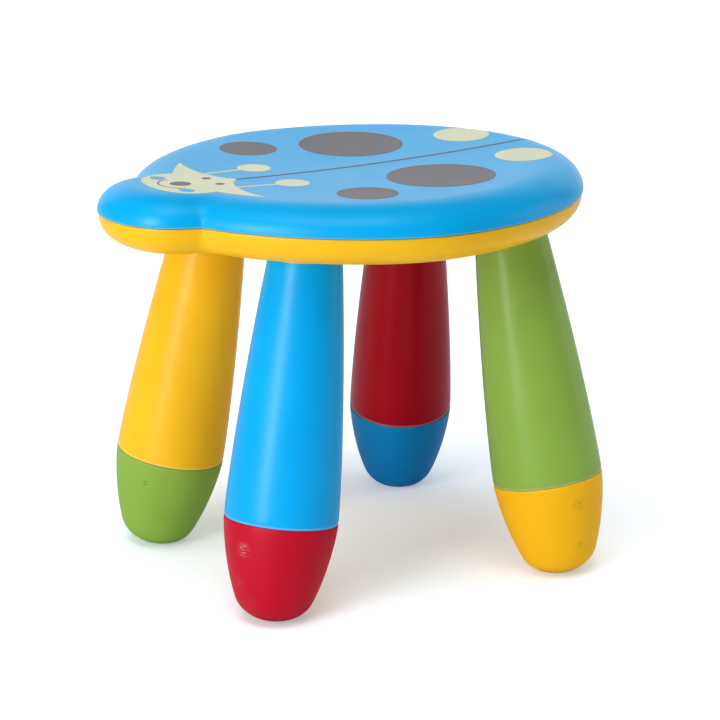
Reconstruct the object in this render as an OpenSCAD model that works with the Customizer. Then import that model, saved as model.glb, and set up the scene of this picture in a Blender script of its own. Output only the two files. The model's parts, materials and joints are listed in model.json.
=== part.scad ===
// Children's stool with a ladybird seat and four two-colour legs.
// Millimetres, +Z up. The origin is on the floor, under the middle of the seat's outline.
// The ladybird's head points to -Y and its tail to +Y. The stool is symmetric about X = 0.

/* [Seat outline] */
// Widest part of the body, across X
body_width = 290; // [275:1:300]
// Length of the body in front of its widest line
body_front = 150.4; // [146:0.1:160]
// Length of the body behind its widest line
body_rear = 168.2; // [160:0.1:175]
// Distance of the body's widest line behind the origin
body_y = 5.35; // [0:0.05:10]
// Width of the head
head_width = 99; // [90:1:108]
// Length of the head's oval
head_length = 84; // [76:1:100]
// Distance from the body's widest line to the head's middle
head_reach = 136.9; // [126:0.1:142]
// Softness of the notch between head and body
neck_blend = 11; // [6:0.1:18]

/* [Seat heights] */
// Height of the line where shell and tray meet
parting_z = 260; // [258:0.5:262]
// Height of the tray's flat underside
underside_z = 237.5; // [236:0.5:239]
// Lowest height of the dished top
dish_z = 275; // [274:0.1:278]
// Wall of the shell
shell_wall = 2.8; // [2.4:0.1:3.2]
// Wall of the tray
tray_wall = 3; // [2.6:0.1:3.4]
// Gap between the shell's edge and the tray's lip
parting_gap = 0.8; // [0.4:0.1:1.2]

/* [Legs] */
// Front legs: distance of the foot from the middle plane
front_foot_x = 85.4; // [80:0.1:90]
// Front legs: distance of the foot in front of the origin
front_foot_y = 99.1; // [95:0.1:105]
// Rear legs: distance of the foot from the middle plane
rear_foot_x = 107.6; // [100:0.1:112]
// Rear legs: distance of the foot behind the origin
rear_foot_y = 118.6; // [112:0.1:124]
// All legs: distance from the middle plane where they meet the seat
leg_top_x = 64.2; // [62:0.1:67]
// Front legs: distance in front of the origin where they meet the seat
front_top_y = 62.1; // [60:0.1:66]
// Rear legs: distance behind the origin where they meet the seat
rear_top_y = 96.5; // [92:0.1:99]
// Height of the joint between foot and tube, along the leg
joint_h = 66.4; // [62:0.1:72]
// Largest radius of the leg, at that joint
joint_r = 37.7; // [35:0.1:40]
// Radius of the tube where it meets the seat
tube_top_r = 23.6; // [22.8:0.1:23.8]
// Wall of the leg mouldings
leg_wall = 2.6; // [2.2:0.1:3]

/* [Twist lock] */
// Turn from locked to released, in degrees
lock_turn = 75; // [60:1:80]
// Radius of the stud's shank
shank_r = 15; // [14:0.1:15.5]
// Radius over the stud's two lugs
lug_r = 19.2; // [18.5:0.1:19.6]
// Width of a lug, in degrees
lug_angle = 36; // [30:1:40]

/* [Hidden] */
$fn = 96;
eps = 0.01;

// Colours of the plastics
blue = "#16a4ea";
yellow = "#fbbf1e";
red = "#c4122f";
green = "#86ad3f";
ink = "#85818a";
cream = "#d8dec2";
nylon = "#d8d8d2";
steel = "#b4b8bc";

// ---- Seat outline: a superellipse body and an oval head, joined by a soft notch ----
sides = 72;
front_power = 1.77;
rear_power = 2.01;

// Radius of the body in a direction, t degrees from +Y
function body_r(t) = let (c = cos(t), b = c > 0 ? body_rear : body_front,
    n = c > 0 ? rear_power : front_power)
    pow(pow(abs(sin(t)) / (body_width / 2), n) + pow(abs(c) / b, n), -1 / n);

// Radius of the head's oval, seen from the body's middle; 0 where the ray misses it
function head_r(t) = let (hw = head_width / 2, hl = head_length / 2,
    a = pow(sin(t) / hw, 2) + pow(cos(t) / hl, 2),
    b = 2 * cos(t) * head_reach / (hl * hl),
    c = pow(head_reach / hl, 2) - 1,
    d = b * b - 4 * a * c)
    cos(t) > 0 || d < 0 ? 0 : (-b + sqrt(d)) / (2 * a);

// The larger of the two, rounded where they cross
function outline_r(t) = let (rb = body_r(t), rh = head_r(t),
    h = min(1, max(0, 0.5 + 0.5 * (rh - rb) / neck_blend)))
    rh * h + rb * (1 - h) + neck_blend * h * (1 - h);

function outline(t) = let (r = outline_r(t)) [r * sin(t), body_y + r * cos(t)];

// The outline moved inwards along its own normal
function inset_point(t, d) = let (p = outline(t), q = outline(t + 0.5), s = outline(t - 0.5),
    v = q - s, n = v / norm(v)) [p[0] + d * n[1], p[1] - d * n[0]];

// ---- Heights of the dished top ----
dish_y = -16.5;         // the dish's lowest point along Y
dish_across = 0.00022; // rise per square millimetre along X
dish_along = 0.00019;  // and along Y
function dish(x, y) = dish_z + dish_across * x * x + dish_along * pow(y - dish_y, 2);

// ---- Rings: closed loops of points, skinned into one solid ----
function ring(d, z) = [for (i = [0:sides - 1]) let (p = inset_point(i * 360 / sides, d))
    [p[0], p[1], z]];

// A ring whose height follows the dish, lowered by drop
function dish_ring(d, drop) = [for (i = [0:sides - 1])
    let (p = inset_point(i * 360 / sides, d)) [p[0], p[1], dish(p[0], p[1]) - drop]];

// The same, shrunk towards the body's middle
function inner_ring(d, f, drop) = [for (i = [0:sides - 1])
    let (p = inset_point(i * 360 / sides, d), x = p[0] * f, y = body_y + (p[1] - body_y) * f)
    [x, y, dish(x, y) - drop]];

// A closed skin: first and last ring are capped with a fan round their mean point
module capped_skin(rings) {
    n = len(rings[0]);
    m = len(rings);
    mean = [for (k = [0, m - 1]) let (r = rings[k]) [for (c = [0:2])
        let (column = [for (p = r) p[c]]) column * [for (p = r) 1 / n]]];
    pts = concat([for (r = rings) each r], mean);
    walls = [for (j = [0:m - 2], i = [0:n - 1])
        let (a = j * n + i, b = j * n + (i + 1) % n,
            c = (j + 1) * n + (i + 1) % n, d = (j + 1) * n + i)
        each [[a, b, c], [a, c, d]]];
    first = [for (i = [0:n - 1]) [m * n, (i + 1) % n, i]];
    last = [for (i = [0:n - 1]) [m * n + 1, (m - 1) * n + i, (m - 1) * n + (i + 1) % n]];
    polyhedron(points = pts, faces = concat(walls, first, last), convexity = 6);
}

// ---- Seat shell: rounded flank, soft crest and dished top, open underneath ----
crest = 25;        // width of the rounded shoulder
flank_edge = 0.8;  // the shell's lower edge is rounded by this much
shoulder_from = 0.5; // the shoulder starts this far over the parting line
shoulder_power = 2;

// Height of the shoulder between the parting line (0) and the dish (1), at inset d
function shoulder(d) = pow(1 - pow(1 - min(1, d / crest), shoulder_power), 1 / shoulder_power);
function shoulder_ring(d, wall) = [for (i = [0:sides - 1])
    let (p = inset_point(i * 360 / sides, d + wall), q = inset_point(i * 360 / sides, crest),
        low = parting_z + shoulder_from, high = dish(q[0], q[1]) - wall)
    [p[0], p[1], low + (high - low) * shoulder(d)]];

shell_outer = concat([ring(flank_edge, parting_z)],
    [for (d = [0, 0.25, 1, 2.5, 5, 8.5, 13, 18.5]) shoulder_ring(d, 0)],
    [dish_ring(crest + 1, 0)],
    [for (f = [0.85, 0.7, 0.55, 0.4, 0.26, 0.12]) inner_ring(crest, f, 0)]);
shell_inner = concat([for (f = [0.12, 0.4, 0.72]) inner_ring(crest, f, shell_wall)],
    [dish_ring(crest + 2, shell_wall)],
    [for (d = [18.5, 13, 8.5, 5, 2.5, 1, 0]) shoulder_ring(d, shell_wall)],
    [ring(flank_edge + shell_wall, parting_z)]);

// Screw bosses stand inside the rim: angle from +Y, and inset from the outline
boss_angles = [0, 70, 104, 180, 256, 290];
boss_inset = 36;
boss_r = 5;
boss_bore_r = 1.5;
boss_z = underside_z + tray_wall + 0.2;
function boss_point(t) = inset_point(t, boss_inset);

// Round posts press on the sockets' flat tops
post_r = 24;
post_end = dish_z - 0.6; // ribs and posts end inside the shell's top wall
post_wall = 2.6;
socket_top_z = 263;
rib_half = 1.1;
rib_reach = 80;
rib_z = 266;

module seat_shell() {
    color(blue)
    difference() {
        union() {
            shell_body();
            for (t = boss_angles) shell_boss(t);
            for (s = leg_signs) shell_post(s);
            for (x = [-40, 0, 40])
                translate([x - rib_half, dish_y - rib_reach, rib_z])
                    cube([2 * rib_half, 2 * rib_reach, post_end - rib_z]);
            for (y = [-40, 0, 40])
                translate([-rib_reach, dish_y + y - rib_half, rib_z])
                    cube([2 * rib_reach, 2 * rib_half, post_end - rib_z]);
        }
        for (t = boss_angles) let (p = boss_point(t))
            translate([p[0], p[1], boss_z - eps]) cylinder(r = boss_bore_r, h = 16);
        for (s = leg_signs) let (p = axis_point(s, socket_top_z))
            translate([p[0], p[1], socket_top_z - eps])
                cylinder(r = post_r - post_wall, h = dish_z - shell_wall - socket_top_z - 0.2);
    }
}

module shell_body() {
    n = sides;
    rings = concat(shell_outer, shell_inner);
    m = len(rings);
    k = len(shell_outer);
    pts = concat([for (r = rings) each r],
        [[0, body_y, dish(0, body_y)], [0, body_y, dish(0, body_y) - shell_wall]]);
    walls = [for (j = [0:m - 1], i = [0:n - 1]) if (j != k - 1)
        let (a = j * n + i, b = j * n + (i + 1) % n,
            c = ((j + 1) % m) * n + (i + 1) % n, d = ((j + 1) % m) * n + i)
        each [[a, b, c], [a, c, d]]];
    top_fan = [for (i = [0:n - 1]) [m * n, (k - 1) * n + i, (k - 1) * n + (i + 1) % n]];
    under_fan = [for (i = [0:n - 1]) [m * n + 1, k * n + (i + 1) % n, k * n + i]];
    polyhedron(points = pts, faces = concat(walls, top_fan, under_fan), convexity = 8);
}

module shell_boss(t) {
    p = boss_point(t);
    translate([p[0], p[1], boss_z])
        cylinder(r = boss_r, h = dish(p[0], p[1]) - shell_wall - boss_z + 0.6);
}

module shell_post(s) {
    p = axis_point(s, socket_top_z);
    translate([p[0], p[1], socket_top_z])
        cylinder(r = post_r, h = post_end - socket_top_z);
}

// ---- Seat tray: rounded flank curving in to a flat floor ----
tray_lip = 0.8;   // the tray's lip stands back from the shell's flank by this much
tray_curve = 28.3;  // width of the curve from lip to floor
tray_power = 2.1;
lip_z = parting_z - parting_gap;
// Inset and height along the tray's curve, a from 0 at the lip to 90 on the floor
function tray_inset(a) = tray_lip + tray_curve * (1 - pow(cos(a), 2 / tray_power));
function tray_height(a, wall) = lip_z - 1.5
    - (lip_z - 1.5 - underside_z - wall) * pow(sin(a), 2 / tray_power);

module tray_body() difference() {
    capped_skin(concat([ring(tray_lip + tray_curve, underside_z)],
        [for (a = [75, 62, 50, 38, 27, 16, 7]) ring(tray_inset(a), tray_height(a, 0))],
        [ring(tray_lip, lip_z - 0.6), ring(tray_lip + 0.5, lip_z)]));
    capped_skin(concat([ring(tray_lip + tray_curve + 1, underside_z + tray_wall)],
        [for (a = [70, 55, 40, 25, 10])
            ring(tray_inset(a) + tray_wall, tray_height(a, tray_wall))],
        [ring(tray_lip + tray_wall, lip_z - 0.6), ring(tray_lip + tray_wall, lip_z + 1)]));
}

module seat_tray() {
    color(yellow)
    difference() {
        tray_body();
        for (s = leg_signs) on_leg(s) cylinder(r = socket_r + 0.2, h = 300);
        for (t = boss_angles) let (p = boss_point(t)) {
            translate([p[0], p[1], underside_z - 1]) cylinder(r = screw_r + 0.3, h = 6);
            translate([p[0], p[1], underside_z - 1]) cylinder(r = screw_head_r + 0.3, h = 2.6);
        }
    }
}

// ---- Case screws: six pan-head screws, driven up through the tray's floor ----
screw_r = 1.9;
screw_head_r = 3.6;
module case_screws() {
    color(steel)
    for (t = boss_angles) let (p = boss_point(t)) translate([p[0], p[1], 0]) {
        translate([0, 0, underside_z + 0.2]) cylinder(r = screw_head_r, h = 1.4);
        translate([0, 0, underside_z + 1.6 - eps]) cylinder(r = screw_r, h = 1.5);
        translate([0, 0, underside_z + 3]) cylinder(r = boss_bore_r - 0.05, h = 10);
    }
}

// ---- Printed film: thin patches that follow the dish ----
film_gap = 0.12;
film = 0.25;
function patch_ring(loop, mid, f, lift) = [for (p = loop)
    let (x = mid[0] + (p[0] - mid[0]) * f, y = mid[1] + (p[1] - mid[1]) * f)
    [x, y, dish(x, y) + lift]];

module patch(loop, mid) {
    scales = [1, 0.66, 0.33];
    capped_skin(concat([for (f = [0.33, 0.66, 1]) patch_ring(loop, mid, f, film_gap)],
        [for (f = scales) patch_ring(loop, mid, f, film_gap + film)]));
}

function round_loop(mid, rx, ry, n) = [for (i = [0:n - 1])
    [mid[0] + rx * cos(i * 360 / n), mid[1] + ry * sin(i * 360 / n)]];

module spot(mid, r) patch(round_loop(mid, r, r, 40), mid);

// Spots: distance from the middle plane, place along Y, radius
large_spot = [58.3, 44.6, 36.5];
small_spot = [79.9, -25.6, 20];
pale_spot = [38.9, 124.4, 19.8];
antenna_ball = [26.2, -50.5, 11.4];

module print_dark() {
    color(ink) {
        for (s = [-1, 1], spot_size = [large_spot, small_spot])
            spot([s * spot_size[0], spot_size[1]], spot_size[2]);
    }
}

// Face mask: a round snout, two pointed ears and a hollow back edge
face_mid = [0, -102.5];
snout_half = 32;
snout_long = 30;
snout_back = -112.5;
snout_power = 2.4;
ear_root = [31, -109.5];
ear_bend = [43, -103];
ear_tip = [59, -89.5];
ear_back = [30, -93];
face_valley = [14, -88.5];
face_back = [0, -77.3];
function face_half_loop() = concat(
    [for (a = [0:12:84]) [snout_half * pow(sin(a), 2 / snout_power),
        snout_back - snout_long * pow(cos(a), 2 / snout_power)]],
    [ear_root, ear_bend, ear_tip, ear_back, face_valley]);
module print_pale() {
    right = face_half_loop();
    left = [for (i = [len(right) - 1:-1:1]) [-right[i][0], right[i][1]]];
    color(cream) {
        for (s = [-1, 1], spot_size = [pale_spot, antenna_ball])
            spot([s * spot_size[0], spot_size[1]], spot_size[2]);
        patch(concat(right, [face_back], left), face_mid);
    }
}

// ---- Legs: one moulding set, placed four times ----
// A sign pair names a leg: [side, end], side 1 at +X, end -1 at the head
leg_signs = [[1, -1], [-1, -1], [1, 1], [-1, 1]];
function foot_point(s) = s[1] < 0 ? [s[0] * front_foot_x, -front_foot_y, 0]
    : [s[0] * rear_foot_x, rear_foot_y, 0];
function top_point(s) = s[1] < 0 ? [s[0] * leg_top_x, -front_top_y, underside_z]
    : [s[0] * leg_top_x, rear_top_y, underside_z];
function axis_point(s, z) = foot_point(s) + (top_point(s) - foot_point(s)) * z / underside_z;

// Puts a leg, drawn along +Z, onto its axis
module on_leg(s) {
    v = top_point(s) - foot_point(s);
    translate(foot_point(s))
        rotate([0, atan2(norm([v[0], v[1]]), v[2]), atan2(v[1], v[0])])
            rotate([0, 0, leg_spin]) children();
}

// Above or below a level plane
module above(z) intersection() {
    children();
    translate([-250, -250, z]) cube([500, 500, 400]);
}
module below(z) intersection() {
    children();
    translate([-250, -250, z - 400]) cube([500, 500, 400]);
}

leg_spin = 33;    // where the locking lugs stand
tube_end_h = 245;
stud_h = 248;
ledge = 8.6;
sole_h = 12;      // height of the rounded sole
sole_mid = 18;    // the sole is the low end of an ellipsoid: its middle's height,
sole_half = 19.6; // its half height
sole_r = 26.7;    // and its radius
foot_tip_r = 17.4;
foot_power = 1.47;
tube_power = 1.45;
gap = 0.4;

function foot_r(h) = foot_tip_r + (joint_r - foot_tip_r)
    * pow(1 - pow(1 - h / joint_h, foot_power), 1 / foot_power);
function tube_r(h) = tube_top_r + (joint_r - tube_top_r)
    * (1 - pow((h - joint_h) / (tube_end_h - joint_h), tube_power));

foot_side = [for (h = [sole_h + 3, 18, 26, 35, 45, 55, 62]) [foot_r(h), h]];
sole_side = [for (a = [0:12:60]) [sole_r * sin(a), sole_mid - sole_half * cos(a)]];

module foot(s, tint) {
    spigot_r = joint_r - leg_wall - 0.5;
    color(tint) above(0) on_leg(s) rotate_extrude()
        polygon(concat(sole_side, [[foot_r(sole_h), sole_h]], foot_side,
            [[joint_r - 0.3, joint_h - 1], [joint_r - 0.9, joint_h - 0.1],
            [spigot_r, joint_h - 0.1], [spigot_r, joint_h + 10],
            [spigot_r - 0.6, joint_h + 12], [spigot_r - leg_wall, joint_h + 12],
            [spigot_r - leg_wall, joint_h - 4]],
            [for (h = [55, 45, 35, 26, 18]) [foot_r(h) - leg_wall - 1, h]],
            [[foot_r(sole_h) - 8, 7], [0, 5]]));
}

tube_heights = [86, 104, 124, 146, 170, 196, 222];
module tube(s, tint) {
    color(tint) on_leg(s) rotate_extrude()
        polygon(concat([[joint_r - 0.7, joint_h], [joint_r, joint_h + 0.8]],
            [for (h = tube_heights) [tube_r(h), h]],
            [[tube_r(tube_end_h), tube_end_h], [tube_r(tube_end_h) - leg_wall, tube_end_h]],
            [for (i = [len(tube_heights) - 1:-1:0])
                [tube_r(tube_heights[i]) - leg_wall, tube_heights[i]]],
            [[joint_r - leg_wall, joint_h + 0.8], [joint_r - leg_wall, joint_h]]));
}

// Stud: a plug in the tube's upper end, with two locking lugs
shank_end = stud_h + ledge + 7;
module stud(s) {
    plug_r = tube_r(tube_end_h) - leg_wall - 0.05;
    color(nylon) on_leg(s) {
        rotate_extrude() polygon([[0, stud_h + ledge + 4], [0, shank_end], [shank_r - 1, shank_end],
            [shank_r, shank_end - 1], [shank_r, stud_h], [tube_top_r - 0.2, stud_h],
            [tube_top_r - 0.2, tube_end_h], [plug_r, tube_end_h], [plug_r, tube_end_h - 12],
            [plug_r - leg_wall, tube_end_h - 12], [plug_r - leg_wall, tube_end_h - 2],
            [shank_r - leg_wall - 0.5, stud_h], [shank_r - leg_wall - 0.5, stud_h + ledge + 4]]);
        for (turn = [0, 180]) rotate([0, 0, turn - lug_angle / 2])
            translate([0, 0, stud_h + ledge + gap])
                rotate_extrude(angle = lug_angle) translate([shank_r - 1, 0])
                    square([lug_r - shank_r + 1, 5]);
    }
}

// Socket: a cup in the tray, with a ledge, two entry slots and two stops for the lugs
socket_r = 26.6;
flange_r = 28;
flange_shift = 8.5; // the flange rests on the tray's flat floor, on the seat's inner side
bore_gap = 0.5;
entry_angle = lug_angle + 6;
stop_gap = 1.5;
stop_from = lug_angle / 2 + stop_gap;
stop_angle = 180 - lock_turn - lug_angle - 2 * stop_gap;
stop_height = 4;
ledge_top = stud_h + ledge;
module socket(s) {
    p = axis_point(s, underside_z + tray_wall) + flange_shift * [-s[0], -s[1], 0];
    color(yellow) {
        below(socket_top_z - 0.1) difference() {
            union() {
                above(underside_z) on_leg(s) cylinder(r = socket_r, h = 300);
                translate([p[0], p[1], underside_z + tray_wall + 0.05])
                    cylinder(r = flange_r, h = 3);
            }
            on_leg(s) {
                rotate_extrude() polygon(concat([[0, 205]],
                    [for (h = [205, 215, 225, 235, tube_end_h]) [tube_r(h) + bore_gap, h]],
                    [[tube_r(tube_end_h) + bore_gap, stud_h + 0.1], [0, stud_h + 0.1]]));
                cylinder(r = shank_r + gap, h = 300);
                translate([0, 0, ledge_top]) cylinder(r = lug_r + gap, h = 60);
                for (turn = [0, 180]) rotate([0, 0, turn - lock_turn - entry_angle / 2])
                    translate([0, 0, stud_h])
                        rotate_extrude(angle = entry_angle) translate([shank_r - 1, 0])
                            square([lug_r + gap - shank_r + 0.9, ledge + 1]);
            }
        }
        on_leg(s) for (turn = [0, 180]) rotate([0, 0, turn + stop_from])
            translate([0, 0, ledge_top - 0.5])
                rotate_extrude(angle = stop_angle) translate([shank_r + gap + 0.05, 0])
                    square([lug_r - shank_r + 1.5, stop_height]);
    }
}

module socket_front_right() socket(leg_signs[0]);
module socket_front_left() socket(leg_signs[1]);
module socket_rear_right() socket(leg_signs[2]);
module socket_rear_left() socket(leg_signs[3]);
module stud_front_right() stud(leg_signs[0]);
module stud_front_left() stud(leg_signs[1]);
module stud_rear_right() stud(leg_signs[2]);
module stud_rear_left() stud(leg_signs[3]);
module tube_front_right() tube(leg_signs[0], blue);
module tube_front_left() tube(leg_signs[1], yellow);
module tube_rear_right() tube(leg_signs[2], green);
module tube_rear_left() tube(leg_signs[3], red);
module foot_front_right() foot(leg_signs[0], red);
module foot_front_left() foot(leg_signs[1], green);
module foot_rear_right() foot(leg_signs[2], yellow);
module foot_rear_left() foot(leg_signs[3], blue);

seat_shell();
seat_tray();
print_dark();
print_pale();
case_screws();
socket_front_right();
socket_front_left();
socket_rear_right();
socket_rear_left();
stud_front_right();
stud_front_left();
stud_rear_right();
stud_rear_left();
tube_front_right();
tube_front_left();
tube_rear_right();
tube_rear_left();
foot_front_right();
foot_front_left();
foot_rear_right();
foot_rear_left();
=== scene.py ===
import json
import math

import bmesh
import bpy
from mathutils import Matrix, Quaternion, Vector
from mathutils.bvhtree import BVHTree
from mathutils.geometry import delaunay_2d_cdt


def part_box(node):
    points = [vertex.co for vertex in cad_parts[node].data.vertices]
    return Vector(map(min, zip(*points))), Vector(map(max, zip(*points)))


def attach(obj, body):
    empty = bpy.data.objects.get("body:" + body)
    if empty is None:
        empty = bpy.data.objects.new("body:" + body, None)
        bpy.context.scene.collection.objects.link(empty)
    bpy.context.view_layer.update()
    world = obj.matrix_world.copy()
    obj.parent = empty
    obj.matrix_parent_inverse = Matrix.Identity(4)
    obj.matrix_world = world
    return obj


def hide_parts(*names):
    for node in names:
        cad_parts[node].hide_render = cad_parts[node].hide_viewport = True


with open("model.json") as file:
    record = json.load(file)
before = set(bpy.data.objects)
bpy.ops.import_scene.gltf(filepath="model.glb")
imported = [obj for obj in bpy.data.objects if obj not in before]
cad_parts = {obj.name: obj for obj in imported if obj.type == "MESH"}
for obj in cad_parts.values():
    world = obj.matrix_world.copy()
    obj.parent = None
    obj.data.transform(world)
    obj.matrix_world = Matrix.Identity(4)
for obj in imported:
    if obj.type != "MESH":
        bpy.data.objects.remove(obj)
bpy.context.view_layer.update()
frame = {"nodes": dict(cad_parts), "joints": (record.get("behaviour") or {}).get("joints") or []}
MM = 0.001

# ---- Camera ----
# A long lens from the head's right-hand side, a little above the seat.
CAMERA_PLACE = Vector((1.4315, -0.85285, 0.6366))
CAMERA_TARGET = Vector((0.0398, -0.00565, 0.1513))
CAMERA_ROLL = math.radians(0.6)

camera = bpy.data.objects.new("camera", bpy.data.cameras.new("camera"))
bpy.context.scene.collection.objects.link(camera)
camera.data.lens = 126.1
camera.data.sensor_width = 36
camera.data.clip_end = 50
look = (CAMERA_TARGET - CAMERA_PLACE).to_track_quat("-Z", "Y")
camera.matrix_world = Matrix.LocRotScale(
    CAMERA_PLACE, look @ Quaternion((0, 0, 1), CAMERA_ROLL), None)
bpy.context.scene.camera = camera

# ---- Seat shell ----
# The ladybird's back: one blue polypropylene moulding with a 2.8 mm wall, open underneath. A soft
# shoulder runs round a shallow dish, and the flank ends in a fine bead over the tray.
shell_low, shell_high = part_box("seat_shell")
PARTING_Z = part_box("seat_tray")[1].z + 0.8 * MM
BODY_MIDDLE = 5.35 * MM
BODY_HALF = shell_high.x
BODY_REAR = shell_high.y - BODY_MIDDLE
BODY_FRONT = 150.4 * MM
FRONT_POWER, REAR_POWER = 1.77, 2.01
HEAD_HALF = 49.5 * MM
HEAD_LONG = 42 * MM
HEAD_REACH = BODY_MIDDLE - HEAD_LONG - shell_low.y
NECK_BLEND = 11 * MM
AROUND = 420  # points round the outline

CREST = 25 * MM
SHOULDER_LOW = PARTING_Z + 0.5 * MM
SHOULDER_POWER = 2.0
SHELL_WALL = 2.8 * MM
DISH_Z = 275 * MM
DISH_MIDDLE = -16.5 * MM
DISH_ACROSS, DISH_ALONG = 0.22, 0.19  # rise per square metre


def body_radius(turn):
    """Distance from the body's middle to its superellipse, turn measured from +Y."""
    rear = math.cos(turn) > 0
    reach = BODY_REAR if rear else BODY_FRONT
    power = REAR_POWER if rear else FRONT_POWER
    across = abs(math.sin(turn) / BODY_HALF) ** power
    along = abs(math.cos(turn) / reach) ** power
    return (across + along) ** (-1 / power)


def head_radius(turn):
    """Distance from the body's middle to the far side of the head's oval, or 0 off the head."""
    a = (math.sin(turn) / HEAD_HALF) ** 2 + (math.cos(turn) / HEAD_LONG) ** 2
    b = 2 * math.cos(turn) * HEAD_REACH / HEAD_LONG ** 2
    c = (HEAD_REACH / HEAD_LONG) ** 2 - 1
    inside = b * b - 4 * a * c
    if math.cos(turn) > 0 or inside < 0:
        return 0
    return (math.sqrt(inside) - b) / (2 * a)


def outline_point(turn):
    """The larger of body and head, rounded where they cross."""
    body, head = body_radius(turn), head_radius(turn)
    share = min(1, max(0, 0.5 + 0.5 * (head - body) / NECK_BLEND))
    radius = head * share + body * (1 - share) + NECK_BLEND * share * (1 - share)
    return Vector((radius * math.sin(turn), BODY_MIDDLE + radius * math.cos(turn)))


def evenly(points, count):
    """count points at equal steps along a closed line of points."""
    steps = [(points[(i + 1) % len(points)] - p).length for i, p in enumerate(points)]
    pitch = sum(steps) / count
    out, i, gone = [], 0, 0.0
    for k in range(count):
        while gone + steps[i] < k * pitch:
            gone += steps[i]
            i += 1
        share = (k * pitch - gone) / steps[i]
        out.append(points[i].lerp(points[(i + 1) % len(points)], share))
    return out


FINE_STEPS = 7200  # steps round the outline before it is spaced evenly
outline = evenly([outline_point(math.tau * i / FINE_STEPS) for i in range(FINE_STEPS)], AROUND)
outward = []
for i in range(AROUND):
    along_edge = outline[(i + 1) % AROUND] - outline[i - 1]
    outward.append(Vector((-along_edge.y, along_edge.x)).normalized())


def dish_height(x, y):
    """The height of the seat's dished top."""
    return DISH_Z + DISH_ACROSS * x * x + DISH_ALONG * (y - DISH_MIDDLE) ** 2


def level_ring(inset, z):
    """The outline moved inwards, at one height."""
    return [(p - n * inset).to_3d() + Vector((0, 0, z)) for p, n in zip(outline, outward)]


def shoulder_ring(angle, wall=0.0):
    """A ring on the rounded shoulder, angle 0 at the flank and 90 degrees at the dish."""
    inset = CREST * (1 - math.cos(angle) ** (2 / SHOULDER_POWER))
    rise = math.sin(angle) ** (2 / SHOULDER_POWER)
    ring = []
    for p, n in zip(outline, outward):
        crest = p - n * CREST
        place = p - n * (inset + wall)
        height = dish_height(crest.x, crest.y) - wall - SHOULDER_LOW
        ring.append(Vector((place.x, place.y, SHOULDER_LOW + height * rise)))
    return ring


def dish_ring(share, wall=0.0):
    """The crest's line shrunk towards the body's middle, laid on the dish."""
    ring = []
    for p, n in zip(outline, outward):
        place = (p - n * (CREST + wall)) * share
        place.y += BODY_MIDDLE * (1 - share)
        ring.append(Vector((place.x, place.y, dish_height(place.x, place.y) - wall)))
    return ring


def skin(name, rings, poles=(), highlight_rings=()):
    """A closed skin over rings of points. poles gives (ring, first point, second point) where the
    skin closes to a point after that ring and opens from another before the next. The attribute
    "edge" is 1 on the rings whose numbers come last, where the material paints a highlight."""
    count = len(rings[0])
    points = [p for ring in rings for p in ring]
    breaks = {after: (first, second) for after, first, second in poles}
    faces = []
    for j in range(len(rings)):
        here, there = j * count, (j + 1) % len(rings) * count
        if j in breaks:
            first, second = len(points), len(points) + 1
            points += breaks[j]
            for i in range(count):
                k = (i + 1) % count
                faces.append((here + k, here + i, first))
                faces.append((there + i, there + k, second))
            continue
        for i in range(count):
            k = (i + 1) % count
            faces.append((here + k, here + i, there + i, there + k))
    mesh = bpy.data.meshes.new(name)
    mesh.from_pydata(points, [], faces)
    edge = [1.0 if i // count in highlight_rings else 0.0 for i in range(len(points))]
    mesh.attributes.new("edge", "FLOAT", "POINT").data.foreach_set("value", edge)
    return finished(name, mesh)


def smoothed(mesh, crease=35):
    """Shades a mesh smooth, except over edges sharper than crease degrees."""
    mesh.shade_smooth()
    mesh.set_sharp_from_angle(angle=math.radians(crease))


def finished(name, mesh):
    """Links a mesh as a smooth object."""
    smoothed(mesh)
    piece = bpy.data.objects.new(name, mesh)
    bpy.context.scene.collection.objects.link(piece)
    return piece


def placed_rod(radius, low, high, matrix=Matrix(), sides=64):
    """A closed cylinder along Z, for cutting or joining."""
    work = bmesh.new()
    bmesh.ops.create_cone(work, cap_ends=True, segments=sides, radius1=radius, radius2=radius,
                          depth=high - low)
    bmesh.ops.translate(work, verts=work.verts, vec=(0, 0, (low + high) / 2))
    bmesh.ops.transform(work, verts=work.verts, matrix=matrix)
    mesh = bpy.data.meshes.new("tool")
    work.to_mesh(mesh)
    work.free()
    return mesh


def combined(piece, operation, meshes):
    """Adds closed meshes to a piece, or cuts them from it, one after the other."""
    for mesh in meshes:
        tool = bpy.data.objects.new("tool", mesh)
        bpy.context.scene.collection.objects.link(tool)
        step = piece.modifiers.new("step", "BOOLEAN")
        step.operation = operation
        step.solver = "MANIFOLD"
        step.object = tool
        bpy.context.view_layer.update()
        result = bpy.data.meshes.new_from_object(
            piece.evaluated_get(bpy.context.evaluated_depsgraph_get()))
        piece.modifiers.remove(step)
        piece.data = result
        bpy.data.objects.remove(tool)
    smoothed(piece.data)


QUARTER = [math.pi / 2 * i / 20 for i in range(21)]
FLANK = [(4.0, -0.5), (0.95, -0.5), (0.5, -0.42), (0.2, -0.2), (0.05, 0.15)]  # inset and height
outer = [level_ring(inset * MM, PARTING_Z + height * MM) for inset, height in FLANK[1:]]
outer += [shoulder_ring(angle) for angle in QUARTER]
outer += [dish_ring(1 - i / 26) for i in range(1, 26)]
inner = [dish_ring(share, SHELL_WALL) for share in (0.05, 0.2, 0.35, 0.5, 0.65, 0.8, 0.9)]
inner += [shoulder_ring(angle, SHELL_WALL) for angle in reversed(QUARTER[::2])]
inner += [level_ring(FLANK[0][0] * MM, PARTING_Z + FLANK[0][1] * MM)]
top_middle = Vector((0, BODY_MIDDLE, dish_height(0, BODY_MIDDLE)))
# Rings 2 and 3, the rounding of the flank's lower edge, carry a painted highlight.
seat_shell = skin("seat_shell_moulding", outer + inner,
                  [(len(outer) - 1, top_middle, top_middle - Vector((0, 0, SHELL_WALL)))],
                  highlight_rings=(2, 3))

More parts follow.
